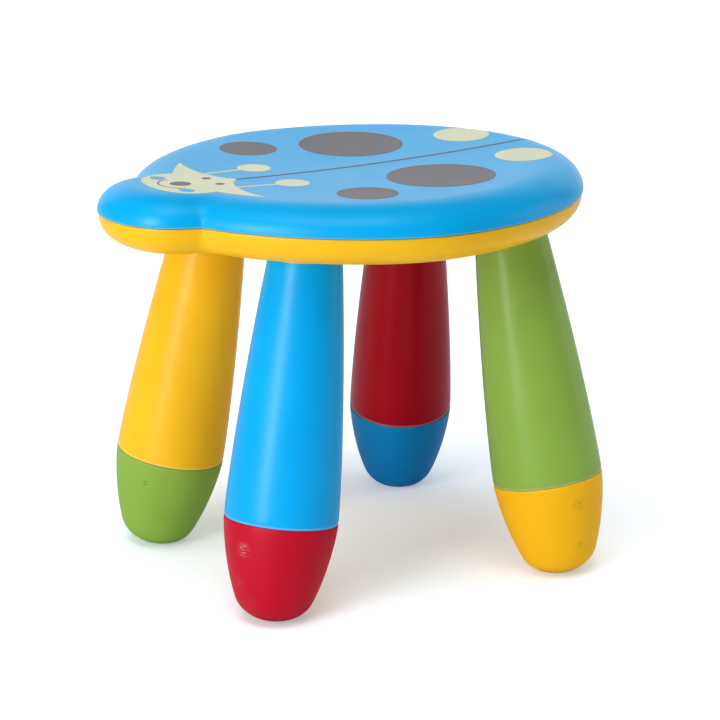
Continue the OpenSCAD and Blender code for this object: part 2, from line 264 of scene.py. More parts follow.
# Posts press on the sockets, bosses take the case screws, and ribs stiffen the top from below.
BOSS_TURNS = (0, 70, 104, 180, 256, 290)
BOSS_INSET = 36 * MM
BOSS_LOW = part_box("seat_tray")[0].z + 3.2 * MM
BOSS_RADIUS = 5 * MM
PILOT_RADIUS, PILOT_DEEP = 1.5 * MM, 16 * MM
SOCKET_TOP = 262.9 * MM
POST_TOP = DISH_Z - 0.6 * MM
POST_RADIUS, POST_BORE = 24 * MM, 21.4 * MM
RIB_LOW = 266 * MM
RIB_PITCH = 40 * MM
RIB_HALF = Vector((80 * MM, 1.1 * MM))


def boss_place(turn):
    """A screw's place, from its turn in degrees from +Y."""
    nearest = min(range(AROUND), key=lambda i: outline[i].angle(Vector(
        (math.sin(math.radians(turn)), math.cos(math.radians(turn))))))
    return outline[nearest] - outward[nearest] * BOSS_INSET


def block(low, high):
    """A closed box between two corners."""
    work = bmesh.new()
    bmesh.ops.create_cube(work, size=1)
    size = Vector(high) - Vector(low)
    bmesh.ops.scale(work, verts=work.verts, vec=size)
    bmesh.ops.translate(work, verts=work.verts, vec=(Vector(low) + Vector(high)) / 2)
    mesh = bpy.data.meshes.new("tool")
    work.to_mesh(mesh)
    work.free()
    return mesh


leg_names = [joint["child"] for joint in frame["joints"]]
leg_joints = {joint["child"]: joint for joint in frame["joints"]}


def axis_place(leg, height):
    """The point of a leg's twist axis at a height over the floor."""
    foot = Vector(leg_joints[leg]["pos_m"])
    axis = Vector(leg_joints[leg]["axis"])
    return foot + axis * ((height - foot.z) / axis.z)


def upright(place, height=0.0):
    """The matrix that moves a piece over a place, without turning it."""
    return Matrix.Translation((place.x, place.y, height))


parts = [placed_rod(BOSS_RADIUS, BOSS_LOW, POST_TOP - 2 * MM, upright(boss_place(turn)), 32)
         for turn in BOSS_TURNS]
parts += [placed_rod(POST_RADIUS, SOCKET_TOP + 0.1 * MM, POST_TOP,
                     upright(axis_place(leg, SOCKET_TOP)), 96) for leg in leg_names]
for offset in (-RIB_PITCH, 0, RIB_PITCH):
    parts.append(block((offset - RIB_HALF.y, DISH_MIDDLE - RIB_HALF.x, RIB_LOW),
                       (offset + RIB_HALF.y, DISH_MIDDLE + RIB_HALF.x, POST_TOP)))
    parts.append(block((-RIB_HALF.x, DISH_MIDDLE + offset - RIB_HALF.y, RIB_LOW),
                       (RIB_HALF.x, DISH_MIDDLE + offset + RIB_HALF.y, POST_TOP)))
combined(seat_shell, "UNION", parts)
holes = [placed_rod(POST_BORE, SOCKET_TOP - MM, DISH_Z - SHELL_WALL - 0.2 * MM,
                    upright(axis_place(leg, SOCKET_TOP)), 96) for leg in leg_names]
holes += [placed_rod(PILOT_RADIUS, BOSS_LOW - MM, BOSS_LOW + PILOT_DEEP,
                     upright(boss_place(turn)), 32) for turn in BOSS_TURNS]
combined(seat_shell, "DIFFERENCE", holes)


def linear(colour):
    """An sRGB hex colour as linear values."""
    parts = [int(colour[i:i + 2], 16) / 255 for i in (1, 3, 5)]
    return [c / 12.92 if c <= 0.04045 else ((c + 0.055) / 1.055) ** 2.4 for c in parts] + [1]


def add(tree, kind, values=None, **settings):
    """Adds a node to a tree. settings are its properties; values are its sockets, by name or
    number, each a plain value or another node's output."""
    node = tree.nodes.new(kind)
    for name, value in settings.items():
        setattr(node, name, value)
    for socket, value in (values or {}).items():
        if isinstance(value, bpy.types.NodeSocket):
            tree.links.new(value, node.inputs[socket])
        else:
            node.inputs[socket].default_value = value
    return node


def per(size):
    """The scale of a pattern whose features are size metres wide."""
    return 1 / size


def noise(tree, place, size, detail, roughness=0.5):
    """A noise texture with features of a size, read at a place."""
    return add(tree, "ShaderNodeTexNoise", {"Vector": place, "Scale": per(size), "Detail": detail,
                                            "Roughness": roughness}).outputs["Fac"]


def mixed_colour(tree, share, first, second):
    """Two colours mixed by a share from 0 to 1."""
    return add(tree, "ShaderNodeMix", {"Factor": share, 6: first, 7: second},
               data_type="RGBA").outputs[2]


def mapped(tree, value, low, high, to_low=0.0, to_high=1.0):
    """A value moved from one range to another, and held within it."""
    return add(tree, "ShaderNodeMapRange", {"Value": value, "From Min": low, "From Max": high,
                                            "To Min": to_low, "To Max": to_high}).outputs[0]


def math_node(tree, operation, *values):
    """The result of a math operation on one to three values."""
    return add(tree, "ShaderNodeMath", dict(enumerate(values)), operation=operation).outputs[0]


def new_material(name):
    """An empty node material and the coordinates that its patterns are fixed to."""
    material = bpy.data.materials.new(name)
    material.use_nodes = True
    material.node_tree.nodes.clear()
    place = add(material.node_tree, "ShaderNodeTexCoord").outputs["Object"]
    return material, material.node_tree, place


def surfaced(tree, colour, roughness, height, strength, depth, **more):
    """Ends a material: a principled surface with a bumpy skin."""
    bump = add(tree, "ShaderNodeBump", {"Height": height, "Strength": strength,
                                        "Distance": depth}).outputs[0]
    shader = add(tree, "ShaderNodeBsdfPrincipled", {"Base Color": colour, "Roughness": roughness,
                                                    "Normal": bump, **more})
    add(tree, "ShaderNodeOutputMaterial", {"Surface": shader.outputs[0]})


# Plastics and inks have a low gloss
SATIN = {"IOR": 1.49, "Specular IOR Level": 0.12}
EDGE_HIGHLIGHT = 0.45  # how far the painted highlight on a moulded edge goes towards the pale tone


def moulded_plastic(name, colour, deep, roughness, wear=0.3, marks=()):
    """Injection-moulded polypropylene: an even pigment that drifts a little, a satin skin with a
    spark-eroded grain finer than a millimetre, short rubs from use, and a painted highlight on the
    edge rings. marks are scuffs, each (place, reach, colour, strength)."""
    material, tree, place = new_material(name)
    cloud = noise(tree, place, 70 * MM, 3, 0.6)
    paint = mixed_colour(tree, mapped(tree, cloud, 0.35, 0.65), linear(deep), linear(colour))
    # Short rubs: long thin cells, turned two ways, seen only where a coarse noise lets them
    rubs = []
    for turn in (0.5, -0.9):
        lie = add(tree, "ShaderNodeMapping", {"Vector": place, "Rotation": (turn, 0.4, turn),
                                              "Scale": (1, 14, 14)}).outputs[0]
        rubs.append(noise(tree, lie, 11 * MM, 5))
    worn = noise(tree, place, 38 * MM, 2)
    scratch = mapped(tree, math_node(tree, "MAXIMUM", *rubs), 0.70, 0.78, 0, wear)
    scratch = math_node(tree, "MULTIPLY", scratch, mapped(tree, worn, 0.5, 0.62))
    # pale is the tone of the real rubs, and also of the painted highlight on the edges.
    pale = [0.7 * c + 0.3 for c in linear(colour)[:3]] + [1]
    paint = mixed_colour(tree, scratch, paint, pale)
    # A painted highlight: a fine pale line along each moulded edge, on the rings where "edge" is 1
    edge = add(tree, "ShaderNodeAttribute", attribute_name="edge").outputs["Fac"]
    edge = math_node(tree, "MULTIPLY", edge, EDGE_HIGHLIGHT)
    paint = mixed_colour(tree, edge, paint, pale)
    # A scuff is many short scratches side by side, so its noise is drawn out along the skin
    lie = add(tree, "ShaderNodeMapping", {"Vector": place, "Rotation": (0.5, 0.3, 0),
                                          "Scale": (0.5, 0.5, 3.5)}).outputs[0]
    for spot, reach, tint, strength in marks:
        away = add(tree, "ShaderNodeVectorMath", {0: place, 1: spot}, operation="DISTANCE")
        near = mapped(tree, away.outputs["Value"], reach, 0, 0, strength)
        smear = mapped(tree, noise(tree, lie, 2 * MM, 4, 0.7), 0.5, 0.66)
        seen = math_node(tree, "MULTIPLY", near, smear)
        paint = mixed_colour(tree, seen, paint, linear(tint))
    # The skin: a grain of about 0.6 mm, and gloss that changes over a few centimetres
    grain = noise(tree, place, 0.6 * MM, 2)
    gloss = mapped(tree, worn, 0, 1, roughness - 0.05, roughness + 0.05)
    gloss = math_node(tree, "MULTIPLY_ADD", scratch, 0.3, gloss)
    surfaced(tree, paint, gloss, grain, 0.12, 0.05 * MM, **SATIN)
    return material


# Satin blue: the pigment is a strong cyan blue, washed pale where it is seen edge on.
shell_blue = moulded_plastic("satin_blue_polypropylene", "#00a8e6", "#00a3e0", 0.36)
seat_shell.data.materials.clear()
seat_shell.data.materials.append(shell_blue)

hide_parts("seat_shell")
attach(seat_shell, "seat")

# ---- Printed film ----
# The ladybird's markings: a thin printed film fused into the top of the shell. Warm grey ink
# makes the spots, the back's middle line and the face's features, and cream ink the rest.
FILM_SINK = 0.1 * MM   # how deep the film reaches into the shell
FILM_RISE = 0.12 * MM  # and how far it stands proud
shell_surface = BVHTree.FromPolygons([v.co for v in seat_shell.data.vertices],
                                     [p.vertices for p in seat_shell.data.polygons])


def on_shell(x, y, rise):
    """The point over x, y on the shell's top, raised."""
    hit = shell_surface.ray_cast(Vector((x, y, 0.5)), Vector((0, 0, -1)))[0]
    return hit + Vector((0, 0, rise))


def oval(middle, half_x, half_y, count=72):
    """The outline of an oval."""
    return [Vector((middle[0] + half_x * math.cos(math.tau * i / count),
                    middle[1] + half_y * math.sin(math.tau * i / count))) for i in range(count)]


def stroke(line, width):
    """The outline of a brush stroke with round ends, along a line of points."""
    left, right = [], []
    for i, p in enumerate(line):
        run = (line[min(i + 1, len(line) - 1)] - line[max(i - 1, 0)]).normalized()
        side = Vector((-run.y, run.x)) * width / 2
        left.append(p + side)
        right.append(p - side)
    caps = []
    for end, run in ((line[-1], line[-1] - line[-2]), (line[0], line[0] - line[1])):
        run = run.normalized() * width / 2
        side = Vector((-run.y, run.x))
        caps.append([end + side * math.cos(a) + run * math.sin(a)
                     for a in [math.pi * i / 6 for i in range(1, 6)]])
    return left + caps[0] + right[::-1] + caps[1]


def inside(point, loop):
    """Whether a point lies within a closed loop."""
    hit = False
    for i, a in enumerate(loop):
        b = loop[i - 1]
        if (a.y > point.y) != (b.y > point.y):
            if point.x < (b.x - a.x) * (point.y - a.y) / (b.y - a.y) + a.x:
                hit = not hit
    return hit


def shrunk(loop, inset):
    """A loop moved towards its inside, whichever way it runs."""
    area = sum(loop[i - 1].cross(p) for i, p in enumerate(loop))
    side = 1 if area > 0 else -1
    out = []
    for i, p in enumerate(loop):
        run = (loop[(i + 1) % len(loop)] - loop[i - 1]).normalized()
        out.append(p + Vector((-run.y, run.x)) * inset * side)
    return out


def centre(points, triangle):
    """The middle of a triangle, given as the numbers of three points."""
    return sum((points[i] for i in triangle), Vector((0, 0))) / 3


def film(name, areas, rise, rim, pitch=3 * MM):
    """Areas of one ink, each (outline, holes), laid on the shell as thin closed sheets. The
    attribute "rim" is 0 on an area's edge and 1 from rim metres inside it."""
    mesh_points, mesh_faces, rims = [], [], []
    for loop, gaps in areas:
        loops = [loop] + list(gaps)
        points, edges, edge_rim = [], [], []
        for k, ring in enumerate(loops):
            band = shrunk(ring, rim if k == 0 else -rim) if rim else []
            for line, value in ((ring, 0.0), (band, 1.0)):
                start = len(points)
                points += line
                edge_rim += [value] * len(line)
                edges += [(start + i, start + (i + 1) % len(line)) for i in range(len(line))]
        low = Vector((min(p.x for p in loop), min(p.y for p in loop)))
        high = Vector((max(p.x for p in loop), max(p.y for p in loop)))
        kept = [r if k == 0 else shrunk(r, -rim) for k, r in enumerate(loops)]
        field = shrunk(loop, 1.5 * rim) if rim else loop
        for i in range(int((high.x - low.x) / pitch)):
            for j in range(int((high.y - low.y) / pitch)):
                spot = low + Vector((i + 0.5, j + 0.5)) * pitch
                if inside(spot, field) and not any(inside(spot, g) for g in kept[1:]):
                    points.append(spot)
                    edge_rim.append(1.0)
        result = delaunay_2d_cdt(points, edges, [], 0, 1e-7)
        flat, triangles, sources = result[0], result[2], result[3]
        triangles = [t for t in triangles if inside(centre(flat, t), loop)
                     and not any(inside(centre(flat, t), g) for g in gaps)]
        count, base = len(flat), len(mesh_points)
        mesh_points += [on_shell(p.x, p.y, rise) for p in flat]
        mesh_points += [on_shell(p.x, p.y, -FILM_SINK) for p in flat]
        values = [edge_rim[s[0]] if s and s[0] < len(edge_rim) else 1.0 for s in sources]
        rims += values + values
        used = []
        for t in triangles:
            a, b, c = t
            if (flat[b] - flat[a]).cross(flat[c] - flat[a]) < 0:
                a, b, c = a, c, b
            mesh_faces.append((base + a, base + b, base + c))
            mesh_faces.append((base + count + a, base + count + c, base + count + b))
            used += [(a, b), (b, c), (c, a)]
        paired = set(used)
        for a, b in used:
            if (b, a) not in paired:
                mesh_faces.append((base + b, base + a, base + count + a, base + count + b))
    mesh = bpy.data.meshes.new(name)
    mesh.from_pydata(mesh_points, [], mesh_faces)
    mesh.attributes.new("rim", "FLOAT", "POINT").data.foreach_set("value", rims)
    work = bmesh.new()
    work.from_mesh(mesh)
    loose = [v for v in work.verts if not v.link_faces]
    bmesh.ops.delete(work, geom=loose, context="VERTS")
    work.to_mesh(mesh)
    work.free()
    return finished(name, mesh)


def both_sides(make):
    """What make draws for the right side and for the left side, as one list."""
    return make(1) + make(-1)


def curve(a, b, c, d, count):
    """Points along a cubic curve, its first point included and its last left out."""
    out = []
    for i in range(count):
        t = i / count
        out.append(a * (1 - t) ** 3 + b * 3 * t * (1 - t) ** 2 + c * 3 * t * t * (1 - t)
                   + d * t ** 3)
    return out


# The artwork, in millimetres: across from the middle line and along towards the tail
SNOUT_HALF, SNOUT_LONG, SNOUT_BACK, SNOUT_POWER = 32 * MM, 30 * MM, -112.5 * MM, 2.4
EAR_ROOT = Vector((31, -109.5)) * MM
EAR_TIP = Vector((59, -89.5)) * MM
CROWN = Vector((0, -77.3)) * MM
CHEEK, CHEEK_HALF = (20.8, -125.5), (5.6, 5.2)
NOSE, NOSE_HALF = (0, -119.5), (6.5, 7.2)
EYE, EYE_HALF = (9.6, -95.5), (2.9, 3.3)
BIG_SPOT, BIG_RADIUS = (58.3, 44.6), 36.5
SMALL_SPOT, SMALL_RADIUS = (79.9, -25.6), 20
TAIL_SPOT, TAIL_RADIUS = (38.9, 124.4), 19.8
FEELER_END, FEELER_RADIUS = (26.2, -50.5), 11.4
STALK = ((22.8, -90), (24.2, -75.5), (25.5, -60.5))
DIMPLE = ((14.2, -128.7), (13.4, -125.5), (13.2, -122.3))
SMILE_MIDDLE, SMILE_RADIUS = Vector((0, -119.8)) * MM, 14.3 * MM
LINE_LONG = 238 * MM
BROAD_LINE = 2.4 * MM


def snout(angle):
    """The mask's round snout, angle from straight ahead."""
    across = abs(math.sin(angle)) ** (2 / SNOUT_POWER) * math.copysign(1, math.sin(angle))
    ahead = abs(math.cos(angle)) ** (2 / SNOUT_POWER)
    return Vector((SNOUT_HALF * across, SNOUT_BACK - SNOUT_LONG * ahead))


def spot(side, place, half, count=72):
    """An oval spot on one side, its place and half sizes in millimetres."""
    return oval((side * place[0] * MM, place[1] * MM), half[0] * MM, half[1] * MM, count)


def round_spot(side, place, radius, count=72):
    """A round spot on one side, as an area without holes."""
    return spot(side, place, (radius, radius), count), []


def line_on(side, points, width):
    """A brush stroke on one side, through points in millimetres, as an area without holes."""
    return stroke([Vector((side * x, y)) * MM for x, y in points], width), []


half = [snout(math.radians(a)) for a in range(0, 88, 4)]
half += curve(EAR_ROOT, Vector((36, -106.5)) * MM, Vector((49, -98.5)) * MM, EAR_TIP, 12)
half += curve(EAR_TIP, Vector((33, -95.5)) * MM, Vector((8, -89.5)) * MM, CROWN, 24)
mask = half + [CROWN] + [Vector((-p.x, p.y)) for p in half[:0:-1]]

pale = [(mask, [spot(side, CHEEK, CHEEK_HALF, 40) for side in (1, -1)])]
pale += both_sides(lambda side: [round_spot(side, TAIL_SPOT, TAIL_RADIUS),
                                 round_spot(side, FEELER_END, FEELER_RADIUS, 48)])
print_pale = film("cream_print", pale, FILM_RISE, 0.9 * MM)
stalks = both_sides(lambda side: [line_on(side, STALK, BROAD_LINE)])
print_stalks = film("cream_stalks", stalks, FILM_RISE - 0.02 * MM, 0)
dark = both_sides(lambda side: [round_spot(side, BIG_SPOT, BIG_RADIUS, 96),
                                round_spot(side, SMALL_SPOT, SMALL_RADIUS)])
print_dark = film("grey_spots", dark, FILM_RISE, 0.9 * MM)
smile = [SMILE_MIDDLE + SMILE_RADIUS * Vector((math.sin(a), -math.cos(a)))
         for a in [math.radians(d) for d in range(-66, 67, 6)]]
features = [(spot(1, NOSE, NOSE_HALF, 48), []), (stroke(smile, 1.1 * MM), [])]
features += both_sides(lambda side: [(spot(side, EYE, EYE_HALF, 32), []),
                                     line_on(side, DIMPLE, 0.8 * MM)])
middle_line = [CROWN + Vector((0, LINE_LONG * i / 60)) for i in range(61)]
features += [(stroke(middle_line, BROAD_LINE), [])]
print_features = film("grey_face_lines", features, FILM_RISE + 0.05 * MM, 0, 2 * MM)


def printed_ink(name, colour, edge, roughness=0.4):
    """Screen ink under the film's clear skin: a flat colour with a faint dot grain, and a thin
    edge of another tone where the next ink shows past it."""
    material, tree, place = new_material(name)
    dots = noise(tree, place, 0.9 * MM, 3)
    cloud = noise(tree, place, 30 * MM, 3)
    mixed = add(tree, "ShaderNodeMix", {"Factor": 0.5, 2: dots, 3: cloud}).outputs[0]
    shade = mapped(tree, mixed, 0.35, 0.65, 0.93, 1.05)
    rim = add(tree, "ShaderNodeAttribute", attribute_name="rim").outputs["Fac"]
    tone = mixed_colour(tree, rim, linear(edge), linear(colour))
    tone = add(tree, "ShaderNodeVectorMath", {0: tone, 3: shade}, operation="SCALE").outputs[0]
    gloss = mapped(tree, cloud, 0, 1, roughness - 0.05, roughness + 0.05)
    surfaced(tree, tone, gloss, dots, 0.1, 0.05 * MM, **SATIN)
    return material


cream_ink = printed_ink("cream_screen_ink", "#d5dabb", "#ead98f")
grey_ink = printed_ink("warm_grey_screen_ink", "#5b585f", "#6a4f4a")
for piece, ink, slot in ((print_pale, cream_ink, "cream_ink"),
                         (print_stalks, cream_ink, "cream_ink"),
                         (print_dark, grey_ink, "grey_ink"),
                         (print_features, grey_ink, "grey_ink")):
    piece.data.materials.append(ink)
    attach(piece, "seat")
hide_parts("print_pale")
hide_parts("print_dark")

# ---- Seat tray ----
# The yellow underside: a polypropylene moulding with a 3 mm wall. Its flank curves in to a flat
# floor, which has an opening for each leg's socket and a countersunk hole for each case screw.
tray_low, tray_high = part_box("seat_tray")
FLOOR_Z = tray_low.z
LIP_Z = tray_high.z
TRAY_LIP = 0.8 * MM
TRAY_CURVE = 28.3 * MM
TRAY_POWER = 2.1
TRAY_WALL = 3 * MM
LIP_ROUND = 1.5 * MM


def tray_ring(angle, wall=0.0):
    """A ring on the tray's curve, angle 0 at the lip and 90 degrees at the floor."""
    inset = TRAY_LIP + wall + TRAY_CURVE * (1 - math.cos(angle) ** (2 / TRAY_POWER))
    drop = LIP_Z - LIP_ROUND - FLOOR_Z - wall
    return level_ring(inset, LIP_Z - LIP_ROUND - drop * math.sin(angle) ** (2 / TRAY_POWER))


def floor_ring(share, z):
    """The floor's edge shrunk towards the body's middle."""
    ring = []
    for p, n in zip(outline, outward):
        place = (p - n * (TRAY_LIP + TRAY_CURVE)) * share
        ring.append(Vector((place.x, place.y + BODY_MIDDLE * (1 - share), z)))
    return ring


LIP = [(3.8, -0.6), (3.7, -0.15), (3.3, 0), (1.9, 0), (1.35, -0.1), (0.95, -0.4), (0.82, -0.9)]
inner = [tray_ring(angle, TRAY_WALL) for angle in QUARTER[::2]]
inner += [floor_ring(share, FLOOR_Z + TRAY_WALL) for share in (0.9, 0.7, 0.5, 0.3, 0.1)]
outer = [floor_ring(share, FLOOR_Z) for share in (0.1, 0.3, 0.5, 0.7, 0.9, 0.97)]
outer += [tray_ring(angle) for angle in reversed(QUARTER)]
outer += [level_ring(inset * MM, LIP_Z + drop * MM) for inset, drop in reversed(LIP)]
middle = Vector((0, BODY_MIDDLE, FLOOR_Z))
# Two rings on the rounded top of the lip carry a painted highlight.
seat_tray = skin("seat_tray_moulding", inner + outer,
                 [(len(inner) - 1, middle + Vector((0, 0, TRAY_WALL)), middle)],
                 highlight_rings=[len(inner) + len(outer) - k for k in (4, 5)])


def leg_space(leg):
    """The matrix that lays +Z on a leg's axis, from its foot upwards."""
    up = -Vector(leg_joints[leg]["axis"])
    return Matrix.LocRotScale(Vector(leg_joints[leg]["pos_m"]), up.to_track_quat("Z", "Y"), None)


SOCKET_OPENING = 26.8 * MM
SCREW_HOLE = 2.2 * MM
SINK_RADIUS, SINK_DEEP = 3.9 * MM, 1.6 * MM
holes = [placed_rod(SOCKET_OPENING, 0.2, 0.3, leg_space(leg), 128) for leg in leg_names]
for turn in BOSS_TURNS:
    under = upright(boss_place(turn), FLOOR_Z)
    holes.append(placed_rod(SCREW_HOLE, -MM, 5 * MM, under, 32))
    holes.append(placed_rod(SINK_RADIUS, -MM, SINK_DEEP, under, 48))
combined(seat_tray, "DIFFERENCE", holes)
tray_yellow = moulded_plastic("satin_yellow_polypropylene", "#fdc11f", "#fbb918", 0.36)
seat_tray.data.materials.clear()
seat_tray.data.materials.append(tray_yellow)
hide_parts("seat_tray")
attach(seat_tray, "seat")

# ---- Legs ----
# Each leg is two mouldings: a tapering tube and, under a fine shadow gap, a rounded foot cup that
# plugs into it. The soles are level, because each leg locks at one turn.
FOOT_HIGH = 66.4 * MM
LEG_RADIUS = 37.7 * MM
TUBE_TOP = 23.6 * MM
TUBE_END = 245 * MM
TUBE_POWER = 1.45
LEG_WALL = 2.6 * MM
FOOT_TIP = 17.4 * MM
FOOT_POWER = 1.47
SOLE_HIGH = 12 * MM
SOLE_MIDDLE, SOLE_HALF, SOLE_RADIUS = 18 * MM, 19.6 * MM, 26.7 * MM  # an ellipsoid's low end
SEGMENTS = 160


def tube_radius(h):
    """The tube's radius at a height along the leg."""
    return TUBE_TOP + (LEG_RADIUS - TUBE_TOP) * (
        1 - ((h - FOOT_HIGH) / (TUBE_END - FOOT_HIGH)) ** TUBE_POWER)


def foot_radius(h):
    """The foot cup's radius at a height along the leg, above the sole's round."""
    return FOOT_TIP + (LEG_RADIUS - FOOT_TIP) * (
        1 - (1 - h / FOOT_HIGH) ** FOOT_POWER) ** (1 / FOOT_POWER)


def turned(profile, space):
    """Rings of a profile of (radius, height) points turned about a leg's axis."""
    rings = []
    for radius, height in profile:
        rings.append([space @ Vector((radius * math.sin(math.tau * i / SEGMENTS),
                                      radius * math.cos(math.tau * i / SEGMENTS), height))
                      for i in range(SEGMENTS)])
    return rings


SOLE_BLEND = 1.6 * MM


def level_sole(p):
    """Flattens what would reach below the floor, with a soft edge."""
    share = min(1, max(0, 0.5 + 0.5 * p.z / SOLE_BLEND))
    return Vector((p.x, p.y, p.z * share + SOLE_BLEND * share * (1 - share)))


def steps(low, high, count):
    """Heights from low to high in equal steps, low left out and high included."""
    return [low + (high - low) * i / count for i in range(1, count + 1)]


# The rims at the joint line, in millimetres: inset from the full radius, and height from the line
TUBE_RIM = ((1.0, 0.0), (0.7, 0.06), (0.52, 0.3), (0.4, 0.9), (0.18, 1.9), (0.05, 3.0))
FOOT_RIM = ((0.02, 1.6), (0.04, 1.0), (0.16, 0.5), (0.42, 0.2), (0.75, 0.12))
tube_profile = [(LEG_RADIUS - inset * MM, FOOT_HIGH + h * MM) for inset, h in TUBE_RIM]
tube_profile += [(tube_radius(h), h) for h in steps(FOOT_HIGH, TUBE_END, 36)]
tube_profile += [(tube_radius(h) - LEG_WALL, h) for h in reversed(steps(FOOT_HIGH, TUBE_END, 9))]
tube_profile += [(LEG_RADIUS - LEG_WALL, FOOT_HIGH + MM), (LEG_RADIUS - LEG_WALL, FOOT_HIGH)]

# The foot cup: the sole's round, the flank, the rim, and a spigot that plugs into the tube
SPIGOT_RADIUS = LEG_RADIUS - LEG_WALL - 0.5 * MM
SPIGOT_LONG, SPIGOT_CHAMFER = 12 * MM, Vector((0.6, 2)) * MM
CUP_FLOOR = 7 * MM
sole_turn = math.acos((SOLE_MIDDLE - SOLE_HIGH) / SOLE_HALF)
foot_profile = [(SOLE_RADIUS * math.sin(angle), SOLE_MIDDLE - SOLE_HALF * math.cos(angle))
                for angle in steps(0, sole_turn, 13)]
foot_profile += [(foot_radius(h), h) for h in steps(SOLE_HIGH, FOOT_HIGH, 30)[:28]]
foot_profile += [(LEG_RADIUS - inset * MM, FOOT_HIGH - h * MM) for inset, h in FOOT_RIM]
foot_profile += [(SPIGOT_RADIUS, FOOT_HIGH - FOOT_RIM[-1][1] * MM),
                 (SPIGOT_RADIUS, FOOT_HIGH + SPIGOT_LONG - SPIGOT_CHAMFER.y),
                 (SPIGOT_RADIUS - SPIGOT_CHAMFER.x, FOOT_HIGH + SPIGOT_LONG),
                 (SPIGOT_RADIUS - LEG_WALL, FOOT_HIGH + SPIGOT_LONG)]
foot_profile += [(foot_radius(h * MM) - LEG_WALL - MM, h * MM) for h in (62, 52, 42, 32, 22, 14)]
foot_profile += [(foot_radius(SOLE_HIGH) - 8 * MM, CUP_FLOOR)]

# Each leg's tube and foot: a name, the colour, and its deeper tone
FINISHES = {
    "leg_front_right": ("blue", "#00a6e8", "#00a0e2", "red", "#c00024", "#b80020"),
    "leg_front_left": ("yellow", "#fdc11f", "#fbb918", "green", "#8cae44", "#86a93f"),
    "leg_rear_right": ("green", "#90b14b", "#8aac46", "yellow", "#fbbd12", "#f9b60c"),
    "leg_rear_left": ("red", "#a4001a", "#9d0018", "blue", "#0081c6", "#007bbe"),
}
# Scuffs on the legs, each a heading in degrees from the head's side towards +X, a height along the
# leg and a reach in millimetres, a colour and a strength
MARKS = {
    "foot_front_right": [(20, 49, 7, "#b3938a", 1.3), (10, 26, 6, "#a0746a", 1.0),
                         (22, 12, 9, "#8a5a50", 0.8)],
    "foot_front_left": [(38, 51, 2.4, "#2c3f18", 3.0)],
    "foot_rear_right": [(88, 51, 7, "#8a6a1c", 1.2), (88, 22, 4, "#8a6a1c", 1.0)],
    "tube_rear_right": [(2, 106, 1.6, "#f4f7e8", 2.0)],
}


def leg_skin_place(leg, heading, height, radius):
    """The point of a leg's skin at a heading in degrees and a height along the leg."""
    up = -Vector(leg_joints[leg]["axis"])
    way = Vector((math.sin(math.radians(heading)), -math.cos(math.radians(heading)), 0))
    way.z = -way.dot(up) / up.z
    return Vector(leg_joints[leg]["pos_m"]) + up * height + way.normalized() * radius


def scuffs(name, leg, radius_at):
    """The scuffs of a leg's piece, as moulded_plastic takes them."""
    return [(leg_skin_place(leg, heading, height * MM, radius_at(height * MM)), reach * MM,
             colour, strength) for heading, height, reach, colour, strength in MARKS.get(name, ())]


for leg in leg_names:
    space = leg_space(leg)
    corner = leg.removeprefix("leg_")
    tube_name, tube_colour, tube_deep, foot_name, foot_colour, foot_deep = FINISHES[leg]
    # Rings 2 and 3, round the tube's rim over the foot, carry a painted highlight.
    tube = skin("tube_moulding_" + corner, turned(tube_profile, space), highlight_rings=(2, 3))
    tube.data.materials.append(moulded_plastic(
        "satin_" + tube_name + "_tube_" + corner, tube_colour, tube_deep, 0.36,
        marks=scuffs("tube_" + corner, leg, tube_radius)))
    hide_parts("tube_" + corner)
    foot_rings = [[level_sole(p) for p in ring] for ring in turned(foot_profile, space)]
    foot = skin("foot_moulding_" + corner, foot_rings,
                [(len(foot_rings) - 1, space @ Vector((0, 0, CUP_FLOOR - 2 * MM)),
                  level_sole(space @ Vector((0, 0, SOLE_MIDDLE - SOLE_HALF))))])
    foot.data.materials.append(moulded_plastic(
        "matte_" + foot_name + "_foot_" + corner, foot_colour, foot_deep, 0.5,
        marks=scuffs("foot_" + corner, leg, foot_radius)))
    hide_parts("foot_" + corner)
    for piece in (tube, foot):
        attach(piece, leg)

# ---- Sockets and studs ----
# The lock: a yellow socket trapped between tray and shell at each corner, and a white nylon stud
# with two lugs in the top of each tube. Both are seen only when a leg is off.
nylon = moulded_plastic("white_nylon", "#d9d8d0", "#d2d1c8", 0.45, wear=0.1)
for name, node in frame["nodes"].items():
    if name.startswith(("socket_", "stud_")):
        node.data.materials.clear()
        node.data.materials.append(tray_yellow if name.startswith("socket_") else nylon)

# ---- Case screws ----
# Six zinc-plated steel screws with a pan head, a cross recess and a rolled thread. They go up
# through the tray's countersunk holes into the shell's bosses.
HEAD_RADIUS = 3.5 * MM
HEAD_HIGH = 1.3 * MM
HEAD_RINGS = 8
RECESS_REACH, RECESS_HALF, RECESS_DEEP = 2.1 * MM, 0.45 * MM, 0.9 * MM
THREAD_CORE, THREAD_PEAK = 1.05 * MM, 1.43 * MM
THREAD_PITCH = 1.2 * MM
THREAD_END = 12 * MM
THREAD_RINGS = 48
SCREW_SIDES = 48


def screw_ring(radius_at, height):
    """A ring of a screw, its radius given for each turn from 0 to 1."""
    return [Vector((radius_at(i / SCREW_SIDES) * math.sin(math.tau * i / SCREW_SIDES),
                    radius_at(i / SCREW_SIDES) * math.cos(math.tau * i / SCREW_SIDES), height))
            for i in range(SCREW_SIDES)]


def thread_radius(turn, height):
    """A thread's radius at a turn and height: a sharp ridge that climbs with the turn."""
    ridge = abs(((height / THREAD_PITCH - turn) % 1) - 0.5) * 2
    taper = min(1, (THREAD_END - height) / (2 * MM))
    return THREAD_CORE * taper + (THREAD_PEAK - THREAD_CORE) * max(0, ridge - 0.4) / 0.6 * taper


